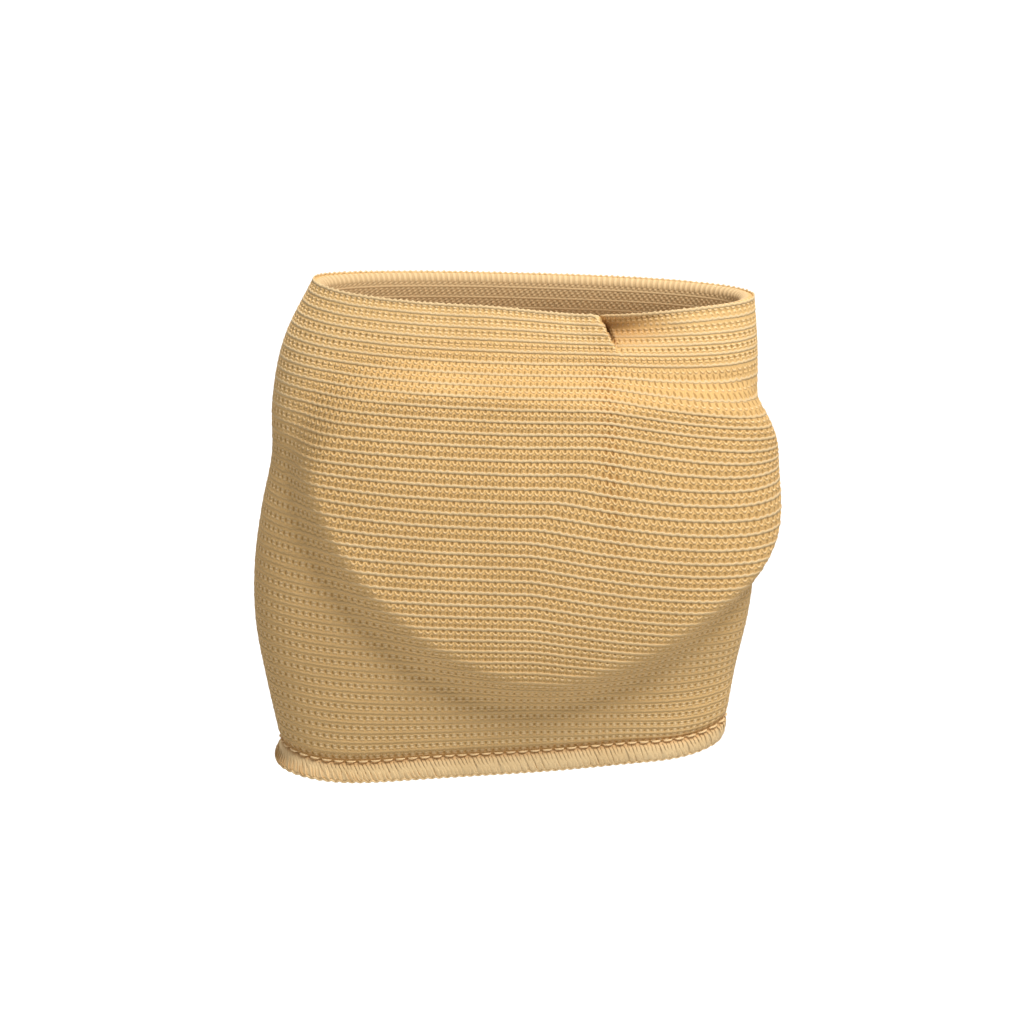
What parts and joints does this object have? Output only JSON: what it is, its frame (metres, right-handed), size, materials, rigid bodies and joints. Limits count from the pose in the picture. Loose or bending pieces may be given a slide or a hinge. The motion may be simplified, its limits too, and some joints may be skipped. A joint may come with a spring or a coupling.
{
  "type": "metatarsal pad",
  "caption": "Elastic knitted forefoot sleeve with a shield-shaped cushion under the ball of a right foot and an overlocked hem.",
  "frame": {"origin": "in the middle of the passage for the forefoot, halfway between the toe edge and the heel hem", "axes": "+Z towards the toes, -Y towards the sole, +X towards the big toe of a right foot"},
  "size_m": [0.1037, 0.0689, 0.0966],
  "materials": {
    "knit": "matte ribbed elastic knit",
    "gel": "soft satin gel",
    "hem": "matte overlocked edge"
  },
  "bodies": {
    "root": {"knit_sleeve": "knit", "gel_pad": "gel", "heel_hem": "hem"}
  },
  "joints": []
}
